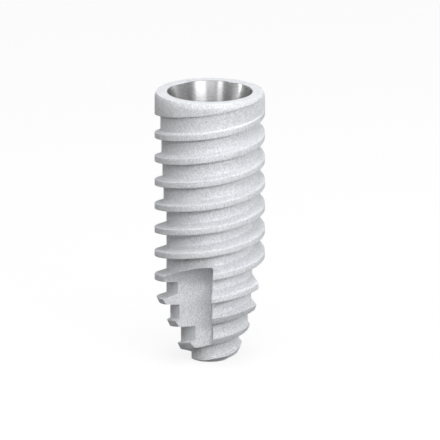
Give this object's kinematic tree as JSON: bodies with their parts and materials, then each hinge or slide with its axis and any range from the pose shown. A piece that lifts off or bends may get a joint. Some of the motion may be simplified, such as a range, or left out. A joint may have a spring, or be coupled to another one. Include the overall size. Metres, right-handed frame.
{
  "type": "dental implant",
  "caption": "Tapered two-start titanium screw body for bone, with a collar, milled apical flutes and a conical hex socket.",
  "frame": {"origin": "centre of the flat apex, where the implant's axis meets the surface that it stands on", "axes": "+Z along the implant's axis, from the apex to the platform; the flute that faces the camera is at -Y"},
  "size_m": [0.0046, 0.0046, 0.0116],
  "materials": {
    "blasted_titanium": "blasted and etched, polished inside the socket"
  },
  "bodies": {
    "root": {"implant_body": "blasted_titanium"}
  },
  "joints": []
}
